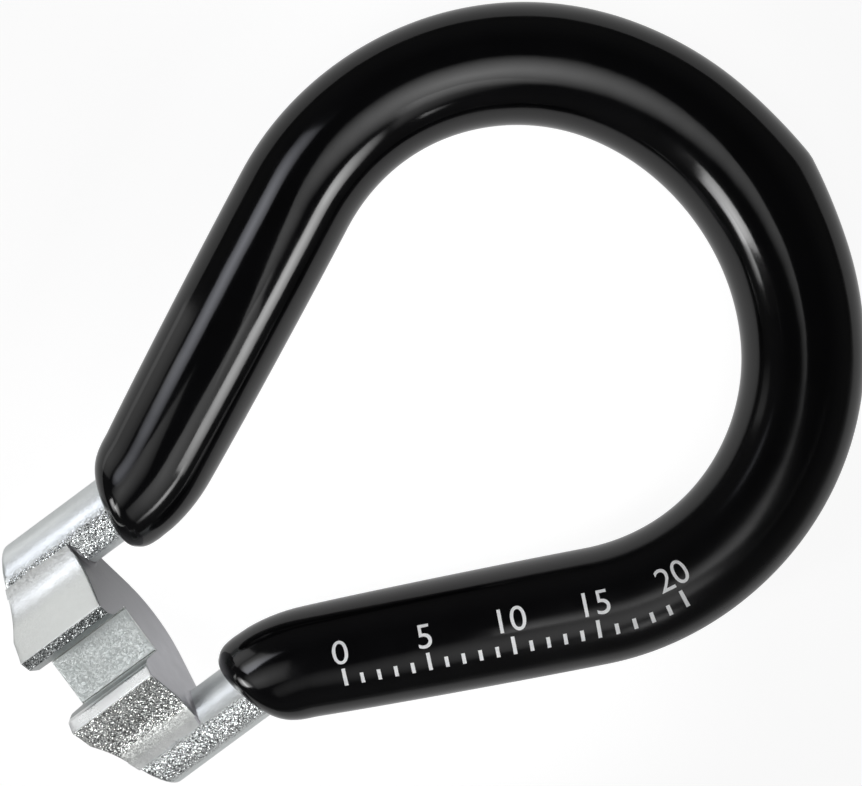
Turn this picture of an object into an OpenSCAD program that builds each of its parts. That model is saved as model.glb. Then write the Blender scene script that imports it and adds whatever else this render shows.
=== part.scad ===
// Spoke wrench with a loop handle, head and loop lying along Y, nipple slot open to +Z

/* [Nipple slot] */
// Width between the slot's flat walls
slot_width = 3.2; // [2.6:0.05:4.4]
// Height of the flat walls above the seat, where the nipple is gripped
grip_height = 3.0; // [2.4:0.1:3.4]
// Half of the flared mouth's width at the jaw noses
mouth_half = 2.0; // [1.7:0.05:2.5]
// Slope of the seat along Y, so that a spoke runs clear above the loop
seat_slope = 5; // [0:0.5:8]
// Radius of the relief in the two corners beside the seat
relief_radius = 0.2; // [0.1:0.05:0.3]

/* [Head] */
// Length of the head along the nipple
head_length = 5.7; // [4.5:0.1:8]
// Half width of the head's flat tip face
tip_half = 3.8; // [3:0.1:5]
// Angle by which the tip's two corners are cut back
tip_angle = 22; // [10:1:35]
// Slope of the four flanks, from the rod seams to the crests
flank_angle = 36.4; // [30:0.2:42]
// Place of a seam on the rod, as an angle inside the rod's crest
seam_angle = 20; // [10:1:35]
// Radius of the rounded jaw noses
nose_radius = 0.5; // [0.3:0.05:0.6]
// Radius of the belly's rounded crest
belly_radius = 4.5; // [3.5:0.1:5.5]
// Height of the rods' middle plane above the seat
rod_rise = 0.25; // [0:0.05:1]

/* [Loop rod] */
// Diameter of the bent steel rod
rod_diameter = 4.0; // [3.4:0.1:4.4]
// Distance between the two necks, middle to middle
neck_spacing = 13.6; // [13:0.1:15]
// Distance from the head's inner wall to the corner where an arm leaves its neck
bend_corner = 5.3; // [4.8:0.1:7]
// Radius of the bend between neck and arm
bend_radius = 9.4; // [7:0.2:11]
// Distance from the head's inner wall to the loop's apex, on the rod's middle line
loop_reach = 45.0; // [42:0.5:52]
// Radius of the apex stretch
apex_radius = 17.8; // [16:0.2:20]
// Half angle of the apex stretch
apex_half_angle = 32; // [20:1:45]
// Radius of the two shoulders
shoulder_radius = 15.25; // [14:0.25:16]
// Gap between the rods and their grooves in the head, filled by braze
braze_gap = 0.05; // [0.02:0.01:0.1]

/* [Braze] */
// Width of a seam fillet on each of its two sides
seam_width = 0.7; // [0.4:0.05:0.9]
// Leg of the ring fillet where a rod leaves the inner wall
ring_leg = 0.45; // [0.3:0.05:0.6]

/* [Grip] */
// Outer diameter of the dipped grip
grip_diameter = 7.2; // [6.4:0.1:8]
// Outer diameter at the grip's two ends, from where it widens along the arms
end_diameter = 6.6; // [6:0.1:7]
// Distance from the head's inner wall to the grip's two ends, on a neck's middle line
dip_gap = 2.9; // [2.4:0.1:3.6]
// Slant of the grip's two ends across the necks
end_slant = 13; // [6:1:18]
// Length of a rounded end, from its rim to the middle of its ball
end_length = 1.2; // [1:0.1:1.5]
// Rounding of the grip's end rims
rim_radius = 0.8; // [0.5:0.1:1]
// Radius of the drip nub at the apex
nub_radius = 2.4; // [1.8:0.1:3]
// Height of the drip nub above the grip
nub_height = 0.45; // [0.2:0.05:0.8]

/* [Hidden] */
$fn = 96;
big = 100;
// Step between neighbouring stretches of a bent bar, and how far one reaches into the next
bar_step = 0.02;
bar_overlap = 0.4;
// Flat left on a jaw nose by the mouth
nose_flat = 0.05;

rod_r = rod_diameter / 2;
grip_r = grip_diameter / 2;
end_r = end_diameter / 2;
neck_x = neck_spacing / 2;
slot_half = slot_width / 2;

y_tip = -head_length / 2;
y_wall = head_length / 2;
y_corner = y_wall + bend_corner;
y_apex = y_wall + loop_reach;
y_dip = y_wall + dip_gap;

// Seam points, flanks, jaw noses and belly crest, with z from the rods' middle plane
seam_x = neck_x - rod_r * sin(seam_angle);
seam_z = rod_r * cos(seam_angle);
flank_top = seam_z + seam_x * tan(flank_angle);
nose_x = mouth_half + nose_radius - nose_flat;
nose_z = flank_top - nose_x * tan(flank_angle) - nose_radius / cos(flank_angle);
nose_touch_x = nose_x + nose_radius * sin(flank_angle);
nose_touch_z = nose_z + nose_radius * cos(flank_angle);
belly_z = flank_top - belly_radius / cos(flank_angle);
belly_touch_x = belly_radius * sin(flank_angle);
belly_touch_z = belly_z + belly_radius * cos(flank_angle);

// Loop path: neck, bend, arm tangent to the shoulder, shoulder, apex stretch
apex_center_y = y_apex - apex_radius;
shoulder_x = (apex_radius - shoulder_radius) * sin(apex_half_angle);
shoulder_y = apex_center_y + (apex_radius - shoulder_radius) * cos(apex_half_angle);
reach_x = shoulder_x - neck_x;
reach_y = shoulder_y - y_corner;
reach = sqrt(reach_x * reach_x + reach_y * reach_y);
arm_angle = asin(shoulder_radius / reach) + atan2(reach_x, reach_y);
arm_length = sqrt(reach * reach - shoulder_radius * shoulder_radius);
bend_tangent = bend_radius * tan(arm_angle / 2);
bend_y = y_corner - bend_tangent;

// End of the grip: a ball on the bend, cut off on a slant at the dip line, with a rounded rim
ball_r = end_r - 2 * bar_step;
ball_turn = asin((end_length / cos(end_slant) - bend_y + y_dip) / bend_radius);
ball_x = neck_x + bend_radius * (1 - cos(ball_turn));
ball_y = bend_y + bend_radius * sin(ball_turn);
rim_y = rim_radius - end_length;
rim_x = sqrt(pow(ball_r - rim_radius, 2) - rim_y * rim_y);
rim_touch_y = rim_y * ball_r / (ball_r - rim_radius);

// Shared shapes

// Both sides of a shape that is drawn at x > 0
module both_sides() {
    children();
    mirror([1, 0, 0]) children();
}

// A flat shape in x and z, drawn along Y between two places
module along_y(y0, y1) {
    translate([0, y1, rod_rise])
        rotate([90, 0, 0])
            linear_extrude(height = y1 - y0)
                children();
}

// A round bar along Y at one neck
module neck_bar(radius, y0, y1) {
    translate([neck_x, y0, rod_rise])
        rotate([-90, 0, 0])
            cylinder(r = radius, h = y1 - y0);
}

// What the two cut corners of the tip take away, from the head and from the rod ends alike
module tip_cuts() {
    cut_x = neck_x + rod_r + 1;
    cut_y = y_tip + (cut_x - tip_half) * tan(tip_angle);
    both_sides()
        translate([0, 0, -big / 2])
            linear_extrude(height = big)
                polygon([
                    [tip_half, y_tip],
                    [tip_half - tan(tip_angle), y_tip - 1],
                    [cut_x, y_tip - 1],
                    [cut_x, cut_y],
                ]);
}

// Straight outline of the head across Y, without its rounded noses and belly
module head_outline() {
    polygon([
        [nose_touch_x, nose_touch_z],
        [seam_x, seam_z],
        [neck_x, 0],
        [seam_x, -seam_z],
        [belly_touch_x, -belly_touch_z],
        [0, -belly_z],
        [-belly_touch_x, -belly_touch_z],
        [-seam_x, -seam_z],
        [-neck_x, 0],
        [-seam_x, seam_z],
        [-nose_touch_x, nose_touch_z],
        [-nose_x, nose_z],
        [nose_x, nose_z],
    ]);
}

// The head between two places along Y, with its rod grooves, before the slot
module head_bar(y0, y1) {
    difference() {
        union() {
            along_y(y0, y1) head_outline();
            both_sides()
                along_y(y0, y1)
                    translate([nose_x, nose_z])
                        circle(r = nose_radius - bar_step);
            along_y(y0, y1)
                translate([0, -belly_z])
                    circle(r = belly_radius - bar_step);
        }
        both_sides()
            neck_bar(rod_r + braze_gap, y0 - 1, y1 + 1);
    }
}

// Outline of one rod's braze: the film in its groove and the fillets along its two seams
module braze_outline() {
    flank_x = seam_x - seam_width * cos(flank_angle);
    flank_z = seam_z + seam_width * sin(flank_angle);
    rod_turn = seam_angle - seam_width / rod_r * 180 / PI;
    rod_x = neck_x - rod_r * sin(rod_turn);
    rod_z = rod_r * cos(rod_turn);
    polygon([[flank_x, flank_z], [rod_x, rod_z], [neck_x, 0], [rod_x, -rod_z], [flank_x, -flank_z]]);
    intersection() {
        translate([neck_x, 0])
            circle(r = rod_r + ring_leg);
        head_outline();
    }
}

// The slot: flat walls above the seat, then a flared mouth up to the jaw noses
module slot_cut() {
    mouth_z = nose_z + rod_rise;
    rotate([seat_slope, 0, 0])
        translate([0, big / 2, 0])
            rotate([90, 0, 0])
                linear_extrude(height = big)
                    union() {
                        polygon([
                            [-slot_half, 0],
                            [slot_half, 0],
                            [slot_half, grip_height],
                            [mouth_half, mouth_z],
                            [mouth_half, big],
                            [-mouth_half, big],
                            [-mouth_half, mouth_z],
                            [-slot_half, grip_height],
                        ]);
                        both_sides()
                            translate([slot_half, 0])
                                circle(r = relief_radius);
                    }
}

// The loop's path as a round bar, from the arms' bends round the apex
module loop_bar(arm_radius, radius) {
    shoulder_turn = 90 - apex_half_angle + arm_angle;
    shoulder_over = bar_overlap / shoulder_radius * 180 / PI;
    both_sides() {
        translate([neck_x, y_corner, rod_rise])
            rotate([-90, 0, -arm_angle])
                translate([0, 0, bend_tangent])
                    cylinder(r1 = arm_radius, r2 = radius, h = arm_length - bend_tangent);
        translate([shoulder_x, shoulder_y, rod_rise])
            rotate([0, 0, -arm_angle - shoulder_over])
                rotate_extrude(angle = shoulder_turn + 2 * shoulder_over)
                    translate([shoulder_radius, 0])
                        circle(r = radius - bar_step);
    }
    translate([0, apex_center_y, rod_rise])
        rotate([0, 0, 90 - apex_half_angle])
            rotate_extrude(angle = 2 * apex_half_angle)
                translate([apex_radius, 0])
                    circle(r = radius);
}

// A round bar along the bend between neck and arm, from an angle past the neck into the arm
module bend_bar(radius, start) {
    bend_over = bar_overlap / bend_radius * 180 / PI;
    both_sides()
        translate([neck_x + bend_radius, bend_y, rod_rise])
            rotate([0, 0, 180 - arm_angle - bend_over])
                rotate_extrude(angle = arm_angle + bend_over - start)
                    translate([bend_radius, 0])
                        circle(r = radius);
}

// The bent rod, with its ends still square
module bent_rod(y_end) {
    both_sides()
        neck_bar(rod_r, y_end, bend_y);
    bend_bar(rod_r - bar_step, -bar_overlap / bend_radius * 180 / PI);
    loop_bar(rod_r, rod_r);
}

// Half outline of the grip's end, turned round its slanted middle line
module grip_end_outline() {
    intersection() {
        union() {
            intersection() {
                circle(r = ball_r);
                translate([0, rim_touch_y])
                    square([2 * ball_r, 2 * ball_r]);
            }
            translate([rim_x, rim_y])
                circle(r = rim_radius);
            translate([0, rim_y - rim_radius])
                square([rim_x, rim_radius + rim_touch_y - rim_y + bar_step]);
        }
        translate([0, -ball_r])
            square([2 * ball_r, 2 * ball_r]);
    }
}

// Sub-parts

module jaw_head() {
    color([0.72, 0.73, 0.74])
        difference() {
            head_bar(y_tip, y_wall);
            tip_cuts();
            slot_cut();
        }
}

module loop_rod() {
    color([0.66, 0.67, 0.69])
        difference() {
            bent_rod(y_tip);
            tip_cuts();
        }
}

module braze_fillets() {
    color([0.75, 0.73, 0.68])
        both_sides()
            difference() {
                union() {
                    along_y(y_tip, y_wall) braze_outline();
                    intersection() {
                        translate([neck_x, y_wall, rod_rise])
                            rotate([-90, 0, 0])
                                cylinder(r1 = rod_r + ring_leg, r2 = rod_r, h = ring_leg);
                        along_y(y_wall, y_wall + ring_leg) braze_outline();
                    }
                }
                head_bar(y_tip - 1, y_wall);
                neck_bar(rod_r, y_tip - 1, y_wall + 1);
                tip_cuts();
            }
}

module vinyl_grip() {
    color([0.06, 0.06, 0.065])
        difference() {
            union() {
                loop_bar(end_r, grip_r);
                bend_bar(end_r - bar_step, ball_turn);
                both_sides()
                    translate([ball_x, ball_y, rod_rise])
                        rotate([-90, 0, -end_slant])
                            rotate_extrude()
                                grip_end_outline();
                translate([0, y_apex + grip_r + nub_height - nub_radius, rod_rise])
                    sphere(r = nub_radius);
            }
            bent_rod(y_tip);
        }
}

jaw_head();
loop_rod();
braze_fillets();
vinyl_grip();
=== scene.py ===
"""Looks of the spoke wrench: plated head, bent rod, braze and dipped black grip."""
import math

import bmesh
import bpy
import numpy as np
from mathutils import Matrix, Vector


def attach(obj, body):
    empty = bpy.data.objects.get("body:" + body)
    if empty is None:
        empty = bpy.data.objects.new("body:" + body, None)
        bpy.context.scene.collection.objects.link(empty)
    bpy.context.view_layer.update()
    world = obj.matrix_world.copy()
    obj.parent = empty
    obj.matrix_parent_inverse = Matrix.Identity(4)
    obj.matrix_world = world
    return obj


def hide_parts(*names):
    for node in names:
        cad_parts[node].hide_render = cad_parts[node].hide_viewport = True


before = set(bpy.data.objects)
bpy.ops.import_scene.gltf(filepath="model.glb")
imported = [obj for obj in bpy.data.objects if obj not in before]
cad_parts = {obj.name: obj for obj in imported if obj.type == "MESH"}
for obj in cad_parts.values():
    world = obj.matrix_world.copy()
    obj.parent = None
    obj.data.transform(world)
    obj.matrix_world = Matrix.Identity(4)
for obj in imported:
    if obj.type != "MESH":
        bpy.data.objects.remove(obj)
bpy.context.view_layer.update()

MM = 0.001

# Sizes of the part in millimetres, the same as in its source
RISE = 0.25
Y_TIP = -2.85
Y_WALL = 2.85
NECK_X = 6.8
ROD_R = 2.0
GROOVE_R = 2.05
SLOT_HALF = 1.6
GRIP_HEIGHT = 3.0
SEAT_SLOPE = math.radians(5)
RELIEF_R = 0.08
TIP_HALF = 3.8
TIP_ANGLE = math.radians(22)
FLANK = math.radians(36.4)
SEAM_ANGLE = math.radians(20)
MOUTH = (1.86, 3.90)
RIDGE = (2.50, 4.462)
BELLY_R = 4.48
Y_CORNER = 8.15
Y_DIP = 5.75
DIP_SLANT = math.radians(13)
BEND_R = 9.4
Y_APEX = 47.85
APEX_R = 17.8
APEX_HALF = math.radians(32)
SHOULDER_R = 15.25
GRIP_R = 3.6
NUB_HEIGHT = 0.42

# Hollow of the upper flanks, by their slopes below the nose and at the seam
NOSE_TILT = math.radians(43)
VALLEY_START = 4.2
VALLEY_ANGLE = math.radians(14)

# Rounding of the head's edges
SHARP_EDGE = 0.05
GROOVE_EDGE = 0.06
WALL_EDGE = 0.10
FLANK_EDGE = 0.12
BELLY_EDGE = 0.14

# Uneven runs of the dipped coat, in millimetres along it and out from it
APEX_SWELL = 0.14
APEX_SPAN = 9.0
SHOULDER_THIN = 0.10
SHOULDER_PLACE = 24.0
SHOULDER_SPAN = 7.0
END_THIN = 0.38
END_SPAN = 9.0
LIP_THIN = 0.30
LIP_START = 0.4
LIP_SPAN = 1.2
LIP_ROUND = 1.5
SIDE_DRIFT = 0.04
DRIFT_SPAN = 15.0
NUB_HALF = 4.6
NUB_OFFSET = 0.9
NUB_SHARE = 0.72
NUB_LEAN = 0.75

# Points that follow from those sizes
SEAM_X = NECK_X - ROD_R * math.sin(SEAM_ANGLE)
SEAM_Z = ROD_R * math.cos(SEAM_ANGLE)
FLANK_TOP = SEAM_Z + SEAM_X * math.tan(FLANK)
VALLEY_X = NECK_X - GROOVE_R * math.sin(VALLEY_ANGLE)
VALLEY_Z = GROOVE_R * math.cos(VALLEY_ANGLE) + RISE
GROOVE_A = 1 + math.tan(FLANK) ** 2
GROOVE_B = -2 * (NECK_X + FLANK_TOP * math.tan(FLANK))
GROOVE_C = NECK_X ** 2 + FLANK_TOP ** 2 - GROOVE_R ** 2
GROOVE_X = (-GROOVE_B - math.sqrt(GROOVE_B ** 2 - 4 * GROOVE_A * GROOVE_C)) / (2 * GROOVE_A)
GROOVE_Z = FLANK_TOP - GROOVE_X * math.tan(FLANK)
BELLY_Z = FLANK_TOP - 4.5 / math.cos(FLANK)
APEX_CY = Y_APEX - APEX_R
SHOULDER_CX = (APEX_R - SHOULDER_R) * math.sin(APEX_HALF)
SHOULDER_CY = APEX_CY + (APEX_R - SHOULDER_R) * math.cos(APEX_HALF)
REACH = math.hypot(SHOULDER_CX - NECK_X, SHOULDER_CY - Y_CORNER)
ARM = math.asin(SHOULDER_R / REACH) + math.atan2(SHOULDER_CX - NECK_X, SHOULDER_CY - Y_CORNER)
ARM_LENGTH = math.sqrt(REACH * REACH - SHOULDER_R * SHOULDER_R)
ARM_DIR = np.array([math.sin(ARM), math.cos(ARM), 0.0])
BEND_TANGENT = BEND_R * math.tan(ARM / 2)
BEND_Y = Y_CORNER - BEND_TANGENT
BEND_LENGTH = BEND_R * ARM


def smooth_max(a, b, k):
    h = np.maximum(k - np.abs(a - b), 0) / k
    return np.maximum(a, b) + h * h * k / 4


def smooth_step(x, lo, hi):
    t = np.clip((x - lo) / (hi - lo), 0, 1)
    return t * t * (3 - 2 * t)


# Paths of the loop

def arc(cx, cy, radius, start, end, step):
    count = max(3, int(abs(end - start) * radius / step) + 1)
    a = np.linspace(start, end, count)
    sign = 1 if end > start else -1
    points = np.stack([cx + radius * np.cos(a), cy + radius * np.sin(a)], 1)
    tangents = sign * np.stack([-np.sin(a), np.cos(a)], 1)
    return points, tangents


def line(p, q, step):
    p, q = np.array(p, float), np.array(q, float)
    length = np.hypot(*(q - p))
    t = np.linspace(0, 1, max(2, int(length / step) + 1))
    return p + (q - p) * t[:, None], np.repeat([(q - p) / length], len(t), 0)


def join(pieces):
    """One path from several stretches, without the doubled points, and the distance along it."""
    points = [pieces[0][0]] + [p[1:] for p, _ in pieces[1:]]
    tangents = [pieces[0][1]] + [t[1:] for _, t in pieces[1:]]
    points, tangents = np.concatenate(points), np.concatenate(tangents)
    along = np.concatenate([[0], np.cumsum(np.hypot(*np.diff(points, axis=0).T))])
    return points, tangents, along


def mirrored(stretch):
    """The same stretch on the other side, run the other way."""
    points, tangents = stretch
    return points[::-1] * [-1, 1], tangents[::-1] * [1, -1]


def over_the_loop(arm_start, step):
    """Right arm, shoulder, apex and the other side back, from a place on the arm."""
    a = np.array([NECK_X, Y_CORNER])
    d = ARM_DIR[:2]
    arm = line(a + d * arm_start, a + d * ARM_LENGTH, step)
    shoulder = arc(SHOULDER_CX, SHOULDER_CY, SHOULDER_R, -ARM, math.pi / 2 - APEX_HALF, step)
    apex = arc(0, APEX_CY, APEX_R, math.pi / 2 - APEX_HALF, math.pi / 2 + APEX_HALF, step)
    return [arm, shoulder, apex, mirrored(shoulder), mirrored(arm)]


def rod_path(y_start, fine, coarse):
    """Middle line of the rod from a place on the right neck round to the same place on the left."""
    neck = line((NECK_X, y_start), (NECK_X, BEND_Y), fine)
    bend = arc(NECK_X + BEND_R, BEND_Y, BEND_R, math.pi, math.pi - ARM, fine)
    loop = over_the_loop(BEND_TANGENT, coarse)
    return join([neck, bend] + loop + [mirrored(bend), mirrored(neck)])


def grip_path(step):
    """The rod's middle line between the two bends' lower ends."""
    bend = arc(NECK_X + BEND_R, BEND_Y, BEND_R, math.pi, math.pi - ARM, step)
    return join([bend] + over_the_loop(BEND_TANGENT, step) + [mirrored(bend)])


def beside_path(p):
    """Distance along the right bend and arm, and distance from their middle line, for points near them."""
    centre = np.array([NECK_X + BEND_R, BEND_Y])
    flat = p[:, :2] - centre
    turn = np.arctan2(flat[:, 1], -flat[:, 0])
    radius = np.hypot(flat[:, 0], flat[:, 1])
    arm_start = np.array([NECK_X, Y_CORNER]) + ARM_DIR[:2] * BEND_TANGENT
    rel = p[:, :2] - arm_start
    on_arm = rel @ ARM_DIR[:2]
    off_arm = rel[:, 0] * ARM_DIR[1] - rel[:, 1] * ARM_DIR[0]
    along = np.where(turn < 0, flat[:, 1], np.where(turn > ARM, BEND_LENGTH + on_arm, turn * BEND_R))
    off = np.where(turn < 0, flat[:, 0] + BEND_R, np.where(turn > ARM, off_arm, BEND_R - radius))
    return along, np.hypot(off, p[:, 2] - RISE)


# Meshes

def ring_directions(tangent, count):
    """Directions round a path, from the loop's outer side over the top."""
    out = np.array([tangent[1], -tangent[0], 0.0])
    a = np.linspace(0, 2 * np.pi, count, endpoint=False)
    return np.cos(a)[:, None] * out + np.sin(a)[:, None] * np.array([0, 0, 1.0])


def cast(centre, directions, inside, reach=9.0):
    """Where rays from a point inside a shape leave it; inside() is negative within the shape."""
    lo = np.zeros(len(directions))
    hi = np.full(len(directions), reach)
    for _ in range(34):
        mid = (lo + hi) / 2
        within = inside(centre + directions * mid[:, None]) < 0
        lo = np.where(within, mid, lo)
        hi = np.where(within, hi, mid)
    return centre + directions * lo[:, None]


def bridge(rings, closed):
    """Faces between rings of the same size, in order."""
    n = len(rings[0])
    count = len(rings)
    faces = []
    for i in range(count if closed else count - 1):
        a, b = i * n, ((i + 1) % count) * n
        for j in range(n):
            k = (j + 1) % n
            faces.append((a + j, a + k, b + k, b + j))
    return faces


def make_mesh(name, points, faces, sharp=None):
    mesh = bpy.data.meshes.new(name)
    mesh.from_pydata((np.asarray(points) * MM).tolist(), [], faces)
    mesh.validate()
    work = bmesh.new()
    work.from_mesh(mesh)
    bmesh.ops.recalc_face_normals(work, faces=work.faces)
    work.to_mesh(mesh)
    work.free()
    mesh.shade_smooth()
    if sharp:
        mesh.set_sharp_from_angle(angle=math.radians(sharp))
    made = bpy.data.objects.new(name, mesh)
    bpy.context.scene.collection.objects.link(made)
    return made


def piece(made, node, material):
    made.data.materials.clear()
    made.data.materials.append(material)
    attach(made, "root")
    if node:
        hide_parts(node)
    return made


# Materials

def new_material(name):
    material = bpy.data.materials.new(name)
    material.use_nodes = True
    nodes = material.node_tree.nodes
    return material, nodes, material.node_tree.links, nodes["Principled BSDF"]


def noise(nodes, links, coords, size, detail=2.0, rough=0.5):
    node = nodes.new("ShaderNodeTexNoise")
    node.inputs["Scale"].default_value = 1 / (size * MM)
    node.inputs["Detail"].default_value = detail
    node.inputs["Roughness"].default_value = rough
    links.new(coords, node.inputs["Vector"])
    return node


def spread(nodes, links, value, low, high, start=0.3, stop=0.7):
    node = nodes.new("ShaderNodeMapRange")
    node.inputs["From Min"].default_value = start
    node.inputs["From Max"].default_value = stop
    node.inputs["To Min"].default_value = low
    node.inputs["To Max"].default_value = high
    links.new(value, node.inputs["Value"])
    return node.outputs["Result"]


def bump(nodes, links, height, depth, normal=None):
    node = nodes.new("ShaderNodeBump")
    node.inputs["Strength"].default_value = 1.0
    node.inputs["Distance"].default_value = depth * MM
    links.new(height, node.inputs["Height"])
    if normal is not None:
        links.new(normal, node.inputs["Normal"])
    return node.outputs["Normal"]


def tint(nodes, links, value, dark, light):
    ramp = nodes.new("ShaderNodeValToRGB")
    ramp.color_ramp.elements[0].position = 0.3
    ramp.color_ramp.elements[0].color = (*dark, 1)
    ramp.color_ramp.elements[1].position = 0.7
    ramp.color_ramp.elements[1].color = (*light, 1)
    links.new(value, ramp.inputs["Fac"])
    return ramp.outputs["Color"]


def vector_math(nodes, links, operation, first, second=None):
    """A vector operation on a socket and either another socket or a constant."""
    node = nodes.new("ShaderNodeVectorMath")
    node.operation = operation
    links.new(first, node.inputs[0])
    if isinstance(second, tuple):
        node.inputs[1].default_value = second
    elif second is not None:
        links.new(second, node.inputs[1])
    return node.outputs["Vector"]


def blasted(nodes, links, onset):
    """How hard the blast struck a place, by the side it faces: hardest on slopes toward +X."""
    facing = nodes.new("ShaderNodeSeparateXYZ")
    links.new(nodes.new("ShaderNodeNewGeometry").outputs["Normal"], facing.inputs[0])
    struck = nodes.new("ShaderNodeValToRGB")
    links.new(spread(nodes, links, facing.outputs["X"], 0.0, 1.0, -1.0, 1.0), struck.inputs["Fac"])
    levels = struck.color_ramp.elements
    levels[0].position = 0.40
    levels[0].color = (0.18, 0.18, 0.18, 1)
    levels[1].position = 0.95
    levels[1].color = (0.35, 0.35, 0.35, 1)
    for place, level in ((onset, 0.35), (onset + 0.14, 1.0), (0.88, 1.0)):
        levels.new(place).color = (level, level, level, 1)
    return struck.outputs["Color"]


def facets(nodes, links, coords, size, tilt, struck, normal):
    """Normals of a grainy surface: each small cell leans its own way, most where the blast struck it."""
    cells = nodes.new("ShaderNodeTexVoronoi")
    cells.inputs["Scale"].default_value = 1 / (size * MM)
    links.new(coords, cells.inputs["Vector"])
    lean = vector_math(nodes, links, "SUBTRACT", cells.outputs["Color"], (0.5, 0.5, 0.5))
    lean = vector_math(nodes, links, "MULTIPLY", lean, struck)
    lean = vector_math(nodes, links, "MULTIPLY", lean, (tilt, tilt, tilt))
    return vector_math(nodes, links, "NORMALIZE", vector_math(nodes, links, "ADD", normal, lean))


def plated_metal(name, dark, light, grain, tilt, rough, satin=0.0, onset=0.6, metallic=1.0, milled_and_shaded=False):
    """Nickel plating over blasted steel: sparkling grain, cloudy tone, shallow dents; milled faces add
    milling lines and a painted shade that darkens toward -X.
    """
    material, nodes, links, shader = new_material(name)
    coords = nodes.new("ShaderNodeTexCoord").outputs["Object"]
    cloud = noise(nodes, links, coords, 1.6, 3.0, 0.6).outputs["Fac"]
    dents = noise(nodes, links, coords, 0.7, 2.0, 0.5).outputs["Fac"]
    colour = tint(nodes, links, cloud, dark, light)
    struck = blasted(nodes, links, onset)
    total = nodes.new("ShaderNodeMath")
    links.new(spread(nodes, links, cloud, rough[0], rough[1]), total.inputs[0])
    links.new(spread(nodes, links, struck, satin, 0.0, 0.18, 1.0), total.inputs[1])
    links.new(total.outputs[0], shader.inputs["Roughness"])
    normal = bump(nodes, links, dents, 0.012)
    if milled_and_shaded:
        turn = nodes.new("ShaderNodeMapping")
        turn.inputs["Scale"].default_value = (0.15, 1.0, 9.0)
        links.new(coords, turn.inputs["Vector"])
        lines = noise(nodes, links, turn.outputs["Vector"], 1.0, 3.0, 0.6).outputs["Fac"]
        normal = bump(nodes, links, lines, 0.006, normal)
        # Painted shade: the base colour darkens toward -X, from full at +2 mm to 0.28 of itself at -5 mm
        place = nodes.new("ShaderNodeSeparateXYZ")
        links.new(coords, place.inputs[0])
        painted_shade_fade = spread(nodes, links, place.outputs["X"], 0.28, 1.0, -0.005, 0.002)
        shade = nodes.new("ShaderNodeVectorMath")
        shade.operation = "SCALE"
        links.new(colour, shade.inputs[0])
        links.new(painted_shade_fade, shade.inputs["Scale"])
        colour = shade.outputs["Vector"]
    links.new(colour, shader.inputs["Base Color"])
    links.new(facets(nodes, links, coords, grain, tilt, struck, normal), shader.inputs["Normal"])
    shader.inputs["Metallic"].default_value = metallic
    return material


def dipped_vinyl():
    """Glossy black dip coating: faint waves from the dip, orange peel and a little haze."""
    material, nodes, links, shader = new_material("black_dipped_vinyl")
    coords = nodes.new("ShaderNodeTexCoord").outputs["Object"]
    wave = noise(nodes, links, coords, 5.0, 2.0, 0.5).outputs["Fac"]
    peel = noise(nodes, links, coords, 0.5, 2.0, 0.5).outputs["Fac"]
    haze = noise(nodes, links, coords, 3.0, 4.0, 0.6).outputs["Fac"]
    links.new(
        tint(nodes, links, haze, (0.0018, 0.0018, 0.0021), (0.0028, 0.0028, 0.0032)),
        shader.inputs["Base Color"],
    )
    place = nodes.new("ShaderNodeSeparateXYZ")
    links.new(coords, place.inputs[0])
    worn = spread(nodes, links, place.outputs["X"], 0.0, 0.16, 0.009, 0.019)
    total = nodes.new("ShaderNodeMath")
    links.new(spread(nodes, links, haze, 0.08, 0.13), total.inputs[0])
    links.new(worn, total.inputs[1])
    links.new(total.outputs[0], shader.inputs["Roughness"])
    normal = bump(nodes, links, wave, 0.03)
    normal = bump(nodes, links, peel, 0.0012, normal)
    links.new(normal, shader.inputs["Normal"])
    shader.inputs["IOR"].default_value = 1.5
    return material


def white_ink():
    """White pad print: thin spots where the black shows, slightly rough."""
    material, nodes, links, shader = new_material("white_pad_print")
    coords = nodes.new("ShaderNodeTexCoord").outputs["Object"]
    thin = noise(nodes, links, coords, 0.25, 3.0, 0.6).outputs["Fac"]
    links.new(
        tint(nodes, links, thin, (0.80, 0.81, 0.82), (0.90, 0.90, 0.90)),
        shader.inputs["Base Color"],
    )
    links.new(spread(nodes, links, thin, 0.45, 0.60), shader.inputs["Roughness"])
    links.new(bump(nodes, links, thin, 0.004), shader.inputs["Normal"])
    return material


plate_head = plated_metal(
    "plated_head_blasted", (0.79, 0.81, 0.79), (0.87, 0.89, 0.87), 0.050, 0.70, (0.13, 0.20), 0.24, 0.62
)
# Painted shade: the milled wall's colour is darker than the head's plating, and it darkens further toward -X
plate_wall = plated_metal(
    "plated_head_milled_painted_shade", (0.57, 0.57, 0.60), (0.68, 0.68, 0.71), 0.08, 0.05, (0.36, 0.46), milled_and_shaded=True
)
# Painted light: a lighter copy of the head's plating, for the lower jaw's lead-in, which faces the light
plate_nose_painted_light = plated_metal(
    "plated_nose_painted_light", (0.93, 0.95, 0.95), (0.97, 0.98, 0.98), 0.056, 0.40, (0.13, 0.20), 0.12
)
# Painted shade: a darker copy of the head's plating, for the upper jaw's lead-in and the slot walls below
# the ridges
plate_ridge_painted_shade = plated_metal(
    "plated_ridge_painted_shade", (0.40, 0.42, 0.42), (0.52, 0.54, 0.54), 0.056, 0.90, (0.12, 0.18), 0.20
)
plate_seat = plated_metal(
    "plated_seat_matte", (0.79, 0.84, 0.83), (0.90, 0.94, 0.93), 0.08, 1.0, (0.40, 0.50), metallic=0.7
)
plate_rod = plated_metal(
    "plated_rod_grainy", (0.78, 0.815, 0.815), (0.87, 0.90, 0.90), 0.050, 0.70, (0.13, 0.20), 0.24, 0.42
)
plate_braze = plated_metal(
    "plated_braze_wetted", (0.80, 0.82, 0.81), (0.88, 0.89, 0.88), 0.070, 0.50, (0.16, 0.24), 0.20
)
vinyl = dipped_vinyl()


# Black dipped grip

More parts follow.
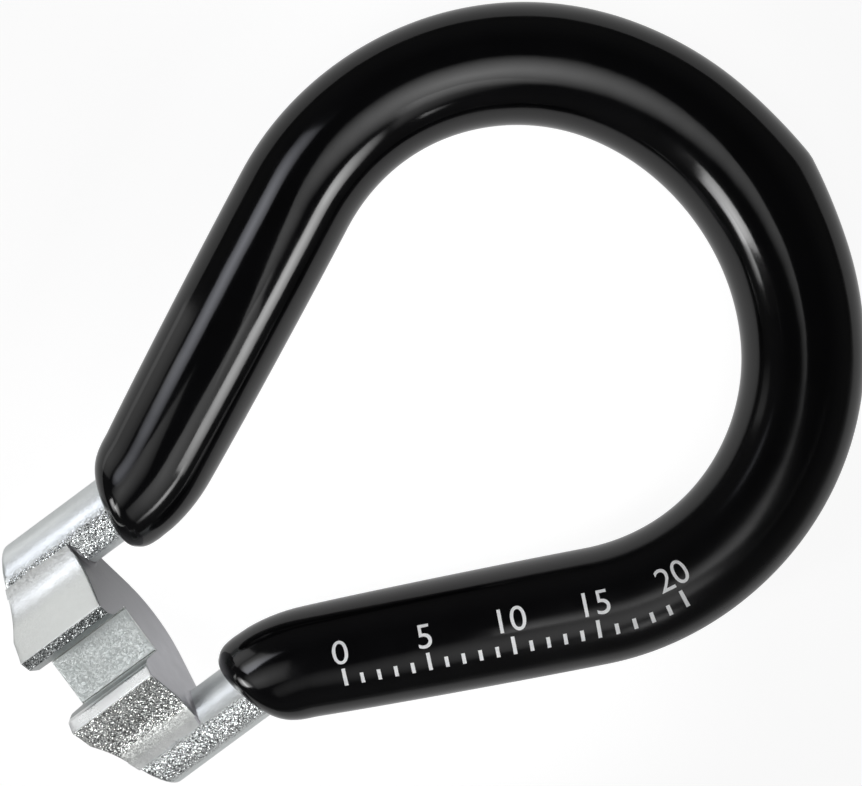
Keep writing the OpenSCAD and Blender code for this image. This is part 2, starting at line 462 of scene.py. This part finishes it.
def grip_radius(s, length, angle):
    """Coat radius at a distance along its path and an angle round the rod."""
    q = s - length / 2
    end = np.minimum(s, length - s)
    r = GRIP_R + APEX_SWELL * np.exp(-((q / APEX_SPAN) ** 2))
    r = r - SHOULDER_THIN * np.exp(-(((np.abs(q) - SHOULDER_PLACE) / SHOULDER_SPAN) ** 2))
    r = r - END_THIN * np.exp(-end / END_SPAN) - LIP_THIN * np.exp(-(end + LIP_START) / LIP_SPAN)
    r = r + SIDE_DRIFT * np.tanh(q / DRIFT_SPAN)
    drop = np.maximum(NUB_HALF - np.abs(q + NUB_OFFSET), 0) ** 2 / (NUB_HALF * NUB_HALF)
    lean = np.angle(np.exp(1j * angle))
    return r + NUB_HEIGHT * NUB_SHARE * drop * np.exp(-((lean / NUB_LEAN) ** 2))


def build_grip():
    count = 96
    fan_reach = 1.3
    end_reach = 8.0
    lining = 0.97
    points, tangents, along = grip_path(0.35)
    length = along[-1]
    angles = np.linspace(0, 2 * np.pi, count, endpoint=False)
    flip = np.array([-1, 1, 1])

    def end_shape(left):
        def inside(p):
            s, off = beside_path(p)
            s = np.maximum(s, -0.3)
            r = grip_radius(length - s if left else s, length, np.pi)
            edge = Y_DIP + (p[:, 0] - NECK_X) * math.tan(DIP_SLANT) - p[:, 1]
            return smooth_max(off - r, edge * math.cos(DIP_SLANT), LIP_ROUND)

        return inside

    def end_rings(left):
        """Rings of one end, drawn at the right side, from the rod's skin out to the bend."""
        inside = end_shape(left)
        start = ring_directions((0, 1), count)
        centre = np.array([NECK_X, BEND_Y + 1.0, RISE])
        x = ROD_R * np.cos(angles)
        y = Y_DIP + x * math.tan(DIP_SLANT) + 0.05
        skin = np.stack([NECK_X + x, y, RISE + ROD_R * np.sin(angles)], 1)
        target = skin - centre
        target /= np.linalg.norm(target, axis=1)[:, None]
        rings = []
        for t in np.linspace(1, 0, 40):
            d = start * (1 - t) + target * t
            d /= np.linalg.norm(d, axis=1)[:, None]
            rings.append(cast(centre, d, inside))
        middle = np.array([NECK_X, 0, RISE])
        skin = (rings[0] - middle) * [lining, 1, lining] + middle + [0, 0.06, 0]
        return [skin] + rings

    rings = end_rings(False)
    for p, t, s in zip(points, tangents, along):
        if min(s, length - s) < fan_reach:
            continue
        centre = np.array([p[0], p[1], RISE])
        d = ring_directions(t, count)
        if min(s, length - s) < end_reach:
            left = s > length / 2
            mirror = flip if left else np.ones(3)
            rings.append(cast(centre * mirror, d * mirror, end_shape(left)) * mirror)
        else:
            r = grip_radius(np.full(count, s), length, angles)
            rings.append(centre + d * r[:, None])
    rings += [ring * flip for ring in end_rings(True)][::-1]
    inner, inner_t, _ = rod_path(Y_DIP + 0.7, 0.6, 1.2)
    for p, t in zip(inner[::-1], inner_t[::-1]):
        rings.append(np.array([p[0], p[1], RISE]) + ring_directions(t, count) * ROD_R * lining)
    made = make_mesh("grip_coat", np.concatenate(rings), bridge(rings, True))
    piece(made, "vinyl_grip", vinyl)


# Bent rod

def build_rod():
    count = 80
    y_fan = 0.9
    tip_round = 0.22
    almost_level = 0.985

    def inside(p):
        coat = np.hypot(p[:, 0] - NECK_X, p[:, 2] - RISE) - ROD_R
        cut = (Y_TIP - p[:, 1]) * math.cos(TIP_ANGLE) + (p[:, 0] - TIP_HALF) * math.sin(TIP_ANGLE)
        return smooth_max(coat, cut, tip_round)

    centre = np.array([NECK_X, y_fan, RISE])
    start = ring_directions((0, 1), count)
    tip = []
    for t in np.linspace(almost_level, 0, 40)[:-1]:
        d = start * math.cos(t * math.pi / 2) + np.array([0, -1, 0]) * math.sin(t * math.pi / 2)
        tip.append(cast(centre, d, inside))
    rings = list(tip)
    points, tangents, _ = rod_path(y_fan, 0.3, 1.2)
    for p, t in zip(points, tangents):
        rings.append(np.array([p[0], p[1], RISE]) + ring_directions(t, count) * ROD_R)
    rings += [ring * np.array([-1, 1, 1]) for ring in tip[::-1]]
    faces = bridge(rings, False)
    total = len(rings) * count
    faces.append(tuple(range(count)))
    faces.append(tuple(range(total - count, total))[::-1])
    made = make_mesh("bent_rod", np.concatenate(rings), faces)
    piece(made, "loop_rod", plate_rod)


# Jaw head

def rounded(corners, cut):
    """A path through corners, with each inner corner rounded off at a distance from it."""
    corners = [np.array(p) for p in corners]
    path = [corners[0]]
    for before, p, after in zip(corners, corners[1:], corners[2:]):
        a = p + (before - p) / np.linalg.norm(before - p) * cut
        b = p + (after - p) / np.linalg.norm(after - p) * cut
        path += [path[-1] + (a - path[-1]) * t for t in (0.33, 0.67)]
        path += [a * (1 - t) ** 2 + p * 2 * t * (1 - t) + b * t * t for t in np.linspace(0, 1, 8)]
    return path


def flank_hollow(x0, z0):
    """An upper flank: straight down from the nose, then hollow and level where it meets the rod."""
    x1 = VALLEY_START
    z1 = z0 - (x1 - x0) * math.tan(NOSE_TILT)
    bend_x = x1 + (z1 - VALLEY_Z) / math.tan(NOSE_TILT)
    t = np.linspace(0, 1, 200)
    x = (1 - t) ** 2 * x1 + 2 * t * (1 - t) * bend_x + t * t * VALLEY_X
    z = (1 - t) ** 2 * z1 + 2 * t * (1 - t) * VALLEY_Z + t * t * VALLEY_Z
    return np.concatenate([[x0], x]), np.concatenate([[z0], z])


def head_section(y):
    """Right half of the head's outline at one place along Y, from the seat's middle round to the belly's."""
    tilt = y * math.tan(SEAT_SLOPE)
    lift = 1 / math.cos(SEAT_SLOPE)
    out = []
    for x in np.linspace(0, SLOT_HALF - RELIEF_R, 10):
        sharper = float(smooth_step(x, 0.9, 1.38))
        out.append((x, tilt, BELLY_EDGE + (SHARP_EDGE - BELLY_EDGE) * sharper))
    for a in np.linspace(math.pi, 2.5 * math.pi, 13)[1:]:
        out.append((SLOT_HALF + RELIEF_R * math.cos(a), tilt + RELIEF_R * math.sin(a), SHARP_EDGE))
    wall_top = tilt + GRIP_HEIGHT * lift
    for z in np.linspace(tilt + RELIEF_R, wall_top, 8)[1:]:
        out.append((SLOT_HALF, z, WALL_EDGE))
    mouth = (MOUTH[0], MOUTH[1] + RISE)
    ridge = (RIDGE[0], RIDGE[1] + RISE)
    below = (VALLEY_START, ridge[1] - (VALLEY_START - ridge[0]) * math.tan(NOSE_TILT))
    wall = (SLOT_HALF, wall_top)
    for x, z in rounded([wall, mouth, ridge, below], WALL_EDGE)[1:]:
        out.append((x, z, SHARP_EDGE))
    hollow_x, hollow_z = flank_hollow(out[-1][0], out[-1][1])
    xs = [np.linspace(out[-1][0], TIP_HALF, 7)[1:], np.linspace(TIP_HALF, VALLEY_X, 24)[1:]]
    for x in np.concatenate(xs):
        edge = min(WALL_EDGE, SHARP_EDGE + (x - RIDGE[0]) * 0.1, 0.004 + (VALLEY_X - x) * 0.11)
        out.append((x, float(np.interp(x, hollow_x, hollow_z)), edge))
    first = math.pi / 2 + VALLEY_ANGLE
    last = 2 * math.pi - math.atan2(GROOVE_Z, GROOVE_X - NECK_X)
    for a in np.linspace(first, last, 32)[1:-1]:
        edge = GROOVE_EDGE * min(1.0, 0.04 + (a - first) / 0.45)
        out.append((NECK_X + GROOVE_R * math.cos(a), RISE + GROOVE_R * math.sin(a), edge))
    touch_x = BELLY_R * math.sin(FLANK)
    xs = np.concatenate([np.linspace(GROOVE_X, TIP_HALF, 10), np.linspace(TIP_HALF, touch_x, 5)[1:]])
    for x in xs:
        out.append((x, -(FLANK_TOP - x * math.tan(FLANK)) + RISE, FLANK_EDGE))
    low = math.pi / 2 - FLANK
    for a in np.linspace(low, math.pi / 2, 18)[1:]:
        out.append((BELLY_R * math.cos(a), RISE - BELLY_Z - BELLY_R * math.sin(a), BELLY_EDGE))
    return np.array(out)


def closed_section(y):
    """The whole outline at one place: right half, then the left half run back to the seat."""
    right = head_section(y)
    left = right[1:-1][::-1] * [-1, 1, 1]
    return np.concatenate([right, left])


def inward(section):
    """Directions into the metal at each point of an outline, longer at corners."""
    p = section[:, :2]
    before = p - np.roll(p, 1, 0)
    after = np.roll(p, -1, 0) - p

    def unit(v):
        return v / np.maximum(np.linalg.norm(v, axis=1), 1e-9)[:, None]

    def right_hand(v):
        return np.stack([v[:, 1], -v[:, 0]], 1)

    a, b = right_hand(unit(before)), right_hand(unit(after))
    mean = unit(a + b)
    stretch = 1 / np.clip((mean * b).sum(1), 0.5, 1)
    return mean * stretch[:, None]


def rim_ring(section, face_y, way, a):
    """A ring of a rounded rim, from the end face at angle 0 to the sides at a right angle."""
    size = section[:, 2]
    p = section[:, :2] + inward(section) * (size * (1 - math.sin(a)))[:, None]
    y = face_y + way * size * (1 - math.cos(a))
    return np.stack([p[:, 0], y, p[:, 1]], 1)


def build_head():
    def tip_y(x):
        return Y_TIP + np.maximum(np.abs(x) - TIP_HALF, 0) * math.tan(TIP_ANGLE)

    steps = np.linspace(0, math.pi / 2, 6)
    front = closed_section(Y_TIP)
    back = closed_section(Y_WALL)
    rings = [rim_ring(front, tip_y(front[:, 0]), 1, a) for a in steps]
    for t in np.linspace(0, 1, 25)[1:-1]:
        section = closed_section(Y_TIP + (Y_WALL - Y_TIP) * t)
        y0 = tip_y(section[:, 0]) + section[:, 2]
        y1 = Y_WALL - section[:, 2]
        y = y0 + (y1 - y0) * t
        rings.append(np.stack([section[:, 0], y, section[:, 1]], 1))
    rings += [rim_ring(back, Y_WALL, -1, a) for a in steps[::-1]]
    faces = bridge(rings, False)
    n = len(rings[0])
    last = (len(rings) - 1) * n
    cut = [i for i in range(n) if abs(abs(front[i, 0]) - TIP_HALF) < 1e-6]
    right_up, right_low, left_low, left_up = sorted(cut)[:4]
    faces.append(tuple(range(right_up, right_low + 1)))
    faces.append(tuple(range(left_low, left_up + 1)))
    middle = list(range(0, right_up + 1)) + list(range(right_low, left_low + 1)) + list(range(left_up, n))
    faces.append(tuple(middle))
    faces.append(tuple(range(last, last + n)))
    made = make_mesh("jaw_block", np.concatenate(rings), faces, 38)
    made = piece(made, "jaw_head", plate_head)
    for material in (plate_wall, plate_seat, plate_nose_painted_light, plate_ridge_painted_shade):
        made.data.materials.append(material)
    wall, seat, nose, ridge = range(1, 5)
    near = 0.03
    for face in made.data.polygons:
        end_face = len(face.vertices) > 4
        if end_face:
            face.use_smooth = False
        x, y, z = face.center / MM
        below_ridge = abs(x) < RIDGE[0] - near and not end_face
        if y > Y_WALL - 0.02:
            face.material_index = wall
        elif abs(x) < SLOT_HALF - 0.15 and abs(z) < 0.5 and face.normal.z > 0.8:
            face.material_index = seat
        # Painted light and shade: the lower jaw's lead-in takes the lighter copy, the upper jaw's lead-in
        # and the slot walls take the darker one
        elif below_ridge and abs(x) > SLOT_HALF + near and z > 3.8:
            face.material_index = nose if x > 0 else ridge
        elif below_ridge and abs(x) > SLOT_HALF - near and z > 0.3:
            face.material_index = ridge


# Braze

def seam_rings(side, up):
    """A wavy fillet along one seam between the head and a rod, from the tip to the wall."""
    rings = []
    for t in np.linspace(0, 1, 40):
        wave = 0.05 * math.sin(7.0 * t + side) + 0.03 * math.sin(17.0 * t + up)
        if up > 0:
            wide = 0.30 + wave
            flank = np.array([VALLEY_X - wide, VALLEY_Z - RISE + 0.015])
            turn = VALLEY_ANGLE - wide / ROD_R
            seam = np.array([VALLEY_X, VALLEY_Z - RISE - 0.02])
        else:
            wide = 0.50 + wave
            flank = np.array([SEAM_X - wide * math.cos(FLANK), SEAM_Z + wide * math.sin(FLANK)])
            turn = SEAM_ANGLE - wide / ROD_R
            seam = np.array([SEAM_X, SEAM_Z])
        rod = np.array([NECK_X - ROD_R * math.sin(turn), ROD_R * math.cos(turn)])
        pull = seam * 0.55 + (flank + rod) * 0.225
        inner = seam + [0.05, -0.25]
        v = np.linspace(0, 1, 9)[:, None]
        p = np.vstack([flank * (1 - v) ** 2 + pull * 2 * v * (1 - v) + rod * v * v, inner])
        y0 = Y_TIP + (p[:, 0] - TIP_HALF) * math.tan(TIP_ANGLE) - 0.04
        y = y0 + (Y_WALL + 0.02 - y0) * t
        rings.append(np.stack([side * p[:, 0], y, up * p[:, 1] + RISE], 1))
    return rings


def collar_rings(side):
    """A fillet round the inner half of one rod where it leaves the wall, thinner at both ends."""
    first = math.radians(98)
    last = math.radians(262)
    rooted = 0.05
    sunk = 0.06
    rings = []
    for a in np.linspace(first, last, 64):
        edge = min(a - first, last - a)
        leg = 0.26 * smooth_step(edge, -0.1, 0.45) + 0.03 * math.sin(5 * a + side)
        leg = max(leg, 0.05)
        ring = []
        for v in np.linspace(0, math.pi / 2, 9):
            r = ROD_R + leg - leg * math.sin(v)
            y = Y_WALL + leg - leg * math.cos(v)
            ring.append((r, y))
        ring.append((ROD_R - sunk, Y_WALL + leg))
        ring.append((ROD_R - sunk, Y_WALL - rooted))
        ring.append((ROD_R + leg, Y_WALL - rooted))
        rings.append(
            np.array([(side * (NECK_X + r * math.cos(a)), y, RISE + r * math.sin(a)) for r, y in ring])
        )
    return rings


def build_braze():
    """Wetted fillets along the seams and round the rods at the inner wall."""
    points, faces = [], []

    def add(rings):
        offset = len(points)
        n = len(rings[0])
        for f in bridge(rings, False):
            faces.append(tuple(i + offset for i in f))
        faces.append(tuple(range(offset, offset + n)))
        faces.append(tuple(range(offset + n * (len(rings) - 1), offset + n * len(rings))))
        for ring in rings:
            points.extend(ring)

    for side in (1, -1):
        for up in (1, -1):
            add(seam_rings(side, up))
        add(collar_rings(side))
    made = make_mesh("braze_wetted", np.array(points), faces, 50)
    made = piece(made, "braze_fillets", plate_braze)
    # Faces at the wall take the wall's material, with its painted shade
    made.data.materials.append(plate_wall)
    for face in made.data.polygons:
        if face.center.y > (Y_WALL - 0.045) * MM:
            face.material_index = 1


build_grip()
build_rod()
build_head()
build_braze()


# Printed scale on the right arm, in millimetres along the grip

def build_scale():
    points, tangents, along = grip_path(0.05)
    start = 6.2
    middle = -0.05
    film = 0.012
    last_mark = 20
    mark_base = -1.4
    mark_half = 0.11
    number_size = 2.1
    number_base = 0.05

    def on_grip(u, v):
        s = start + u
        x = np.interp(s, along, points[:, 0])
        y = np.interp(s, along, points[:, 1])
        tx = np.interp(s, along, tangents[:, 0])
        ty = np.interp(s, along, tangents[:, 1])
        size = math.hypot(tx, ty)
        out = np.array([ty / size, -tx / size, 0])
        a = math.pi / 2 + (v + middle) / GRIP_R
        r = float(grip_radius(np.array([s]), along[-1], np.array([a]))[0]) + film
        return np.array([x, y, RISE]) + r * (math.cos(a) * out + math.sin(a) * np.array([0, 0, 1]))

    flat = bmesh.new()
    for i in range(last_mark + 1):
        mark_top = mark_base + (1.15 if i % 5 == 0 else 0.7)
        left, right = i - mark_half, i + mark_half
        corners = [(left, mark_base), (right, mark_base), (right, mark_top), (left, mark_top)]
        flat.faces.new([flat.verts.new((x, y, 0)) for x, y in corners])
    for i in range(0, last_mark + 1, 5):
        words = bpy.data.curves.new("scale_number", "FONT")
        words.body = str(i)
        words.size = number_size
        words.align_x = "CENTER"
        words.resolution_u = 8
        holder = bpy.data.objects.new("scale_number", words)
        bpy.context.scene.collection.objects.link(holder)
        bpy.context.view_layer.update()
        shape = holder.to_mesh()
        made = [flat.verts.new((v.co.x + i, v.co.y + number_base, 0)) for v in shape.vertices]
        for f in shape.polygons:
            flat.faces.new([made[k] for k in f.vertices])
        holder.to_mesh_clear()
        bpy.data.objects.remove(holder)
        bpy.data.curves.remove(words)
    for cut in np.arange(-1.3, 1.7, 0.15):
        geometry = list(flat.verts) + list(flat.edges) + list(flat.faces)
        bmesh.ops.bisect_plane(
            flat, geom=geometry, plane_co=(0, float(cut), 0), plane_no=(0, 1, 0), dist=1e-5
        )
    bmesh.ops.triangulate(flat, faces=flat.faces)
    for v in flat.verts:
        p = on_grip(v.co.x, v.co.y)
        v.co = Vector(p * MM)
    mesh = bpy.data.meshes.new("size_scale")
    flat.to_mesh(mesh)
    flat.free()
    mesh.shade_smooth()
    made = bpy.data.objects.new("size_scale", mesh)
    bpy.context.scene.collection.objects.link(made)
    piece(made, None, white_ink())


build_scale()


# Floor, light and camera

# The picture's directions in the frame, its middle on the part, and the head's place in it
RIGHT = np.array([0.5968, 0.8024, 0])
DOWN = np.array([0.8024, -0.5968, 0])
CENTRE = np.array([-0.97, 27.44, RISE])
HEAD = (-18, 15.4)

# Camera and floor
CAMERA_HEIGHT = 99.44
CAMERA_ANGLES = (-0.719, 0.981, 53.454)
CAMERA_LENS = 69.19
FLOOR_WHITE = 0.93
FLOOR_GREY = 0.24


def build_floor():
    """A pale floor that touches the belly's inner edge and the loop's far side."""
    tilt = math.radians(1.95)
    below_belly = -5.05
    middle_y = 25
    count = 96
    rings = []
    for r in (40, 90, 160, 240, 320, 420, 520):
        a = np.linspace(0, 2 * np.pi, count, endpoint=False)
        x, y = r * np.cos(a), middle_y + r * np.sin(a)
        z = below_belly + (y - Y_WALL) * math.tan(tilt)
        rings.append(np.stack([x, y, z], 1))
    faces = bridge(rings, False)
    faces.append(tuple(range(count)))
    made = make_mesh("floor", np.concatenate(rings), faces)
    material, nodes, links, shader = new_material("pale_floor")
    nodes.remove(shader)

    def maths(operation, first, second):
        node = nodes.new("ShaderNodeMath")
        node.operation = operation
        links.new(first, node.inputs[0])
        if isinstance(second, float):
            node.inputs[1].default_value = second
        else:
            links.new(second, node.inputs[1])
        return node.outputs[0]

    diffuse = nodes.new("ShaderNodeBsdfDiffuse")
    diffuse.inputs["Color"].default_value = (FLOOR_GREY, FLOOR_GREY, FLOOR_GREY, 1)
    place = nodes.new("ShaderNodeNewGeometry")
    away = vector_math(nodes, links, "SUBTRACT", place.outputs["Position"], tuple(CENTRE * MM))
    side = nodes.new("ShaderNodeVectorMath")
    side.operation = "DOT_PRODUCT"
    side.inputs[1].default_value = tuple(0.6 * RIGHT + 0.8 * DOWN)
    links.new(away, side.inputs[0])
    # Painted shade, seen only in reflections: mirrored in the part, the floor is dimmer than it looks, and
    # darker still past the loop's lower right
    mirrored_shade = spread(nodes, links, side.outputs["Value"], 0.55, 0.11, 0.036, 0.056)
    path = nodes.new("ShaderNodeLightPath")
    seen = maths("MULTIPLY", path.outputs["Is Glossy Ray"], mirrored_shade)
    seen = maths("MAXIMUM", seen, path.outputs["Is Camera Ray"])
    seen = maths("MAXIMUM", seen, path.outputs["Is Transmission Ray"])
    glow = nodes.new("ShaderNodeEmission")
    links.new(maths("MULTIPLY", seen, FLOOR_WHITE), glow.inputs["Strength"])
    both = nodes.new("ShaderNodeAddShader")
    links.new(diffuse.outputs[0], both.inputs[0])
    links.new(glow.outputs[0], both.inputs[1])
    links.new(both.outputs[0], nodes["Material Output"].inputs["Surface"])
    made.data.materials.append(material)


def soft_light(name, aim, azimuth, elevation, distance, size, radiance, fan, colour=(1, 1, 1)):
    """An area light aimed at a place in the picture, in millimetres right and down of its middle.

    Azimuth 0 is right in the picture and 90 is down. The fan is the angle that a grid on the light leaves.
    """
    a, e = math.radians(azimuth), math.radians(elevation)
    d = math.cos(e) * (math.cos(a) * RIGHT + math.sin(a) * DOWN) + math.sin(e) * np.array([0, 0, 1])
    data = bpy.data.lights.new(name, "AREA")
    data.shape = "RECTANGLE"
    data.size = size[0] * MM
    data.size_y = size[1] * MM
    half = math.radians(fan / 2)
    data.spread = 2 * half
    gain = math.tan(half) / (math.tan(half) - half)
    data.energy = radiance * math.pi * data.size * data.size_y / gain
    data.color = colour
    lamp = bpy.data.objects.new(name, data)
    lamp.location = Vector((CENTRE + aim[0] * RIGHT + aim[1] * DOWN + d * distance) * MM)
    lamp.rotation_mode = "QUATERNION"
    lamp.rotation_quaternion = Vector(-d).to_track_quat("-Z", "Y")
    bpy.context.scene.collection.objects.link(lamp)
    lamp.visible_camera = False


def build_lamps():
    """Strips for the lines on the grip, a light for the print, and boxes, cards and panels for the metal."""
    soft_light("left_strip", (-12, -1), -152, 49, 45, (44, 19), 4.4, 36, colour=(0.95, 0.97, 1.06))
    soft_light("right_strip", (-11, -4), 28, 31, 45, (40, 17), 11, 38)
    soft_light("over_strip", (3, -18.7), 75, 68, 36, (20, 50), 3.4, 56)
    soft_light("print_light", (3, 13.5), -16, 50, 28, (24, 16), 10.5, 36)
    soft_light("loop_box", (18.2, -8), 147, 28, 80, (15, 31), 11.5, 44)
    soft_light("head_box", HEAD, 155, 28, 70, (31, 26), 9, 32)
    soft_light("left_card", HEAD, -144, 9, 45, (20, 34), 1.15, 70)
    soft_light("neck_card", (-11.5, 18.5), -144, 38, 40, (16, 16), 2.1, 32)
    soft_light("head_panel", HEAD, 165, 64, 36, (32, 32), 1.3, 50)
    soft_light("right_panel", HEAD, 50, 55, 40, (56, 28), 1.7, 62)
    soft_light("head_spark", HEAD, 52, 30, 60, (40, 7), 9.5, 36)
    soft_light("edge_strip", HEAD, -37, 34, 30, (10, 17), 4, 40)


def build_world():
    """A dim room, a little lighter toward the horizon."""
    world = bpy.context.scene.world or bpy.data.worlds.new("studio")
    bpy.context.scene.world = world
    world.use_nodes = True
    nodes, links = world.node_tree.nodes, world.node_tree.links
    nodes.clear()
    out = nodes.new("ShaderNodeOutputWorld")
    back = nodes.new("ShaderNodeBackground")
    coords = nodes.new("ShaderNodeTexCoord")
    split = nodes.new("ShaderNodeSeparateXYZ")
    links.new(coords.outputs["Generated"], split.inputs[0])
    ramp = nodes.new("ShaderNodeValToRGB")
    levels = ramp.color_ramp.elements
    levels[0].color = (0.05, 0.05, 0.05, 1)
    levels[1].position = 0.8
    levels[1].color = (0.03, 0.03, 0.032, 1)
    levels.new(0.25).color = (0.07, 0.07, 0.071, 1)
    levels.new(0.5).color = (0.06, 0.06, 0.062, 1)
    links.new(split.outputs["Z"], ramp.inputs["Fac"])
    links.new(ramp.outputs["Color"], back.inputs["Color"])
    links.new(back.outputs[0], out.inputs["Surface"])


def build_camera():
    data = bpy.data.cameras.new("photo_camera")
    data.sensor_width = 36.0
    data.lens = CAMERA_LENS
    data.clip_start = 0.005
    data.clip_end = 10.0
    camera = bpy.data.objects.new("photo_camera", data)
    camera.location = Vector((CENTRE[0], CENTRE[1], CAMERA_HEIGHT)) * MM
    camera.rotation_euler = [math.radians(a) for a in CAMERA_ANGLES]
    bpy.context.scene.collection.objects.link(camera)
    bpy.context.scene.camera = camera


build_floor()
build_lamps()
build_world()
build_camera()
bpy.context.scene.view_settings.view_transform = "Standard"
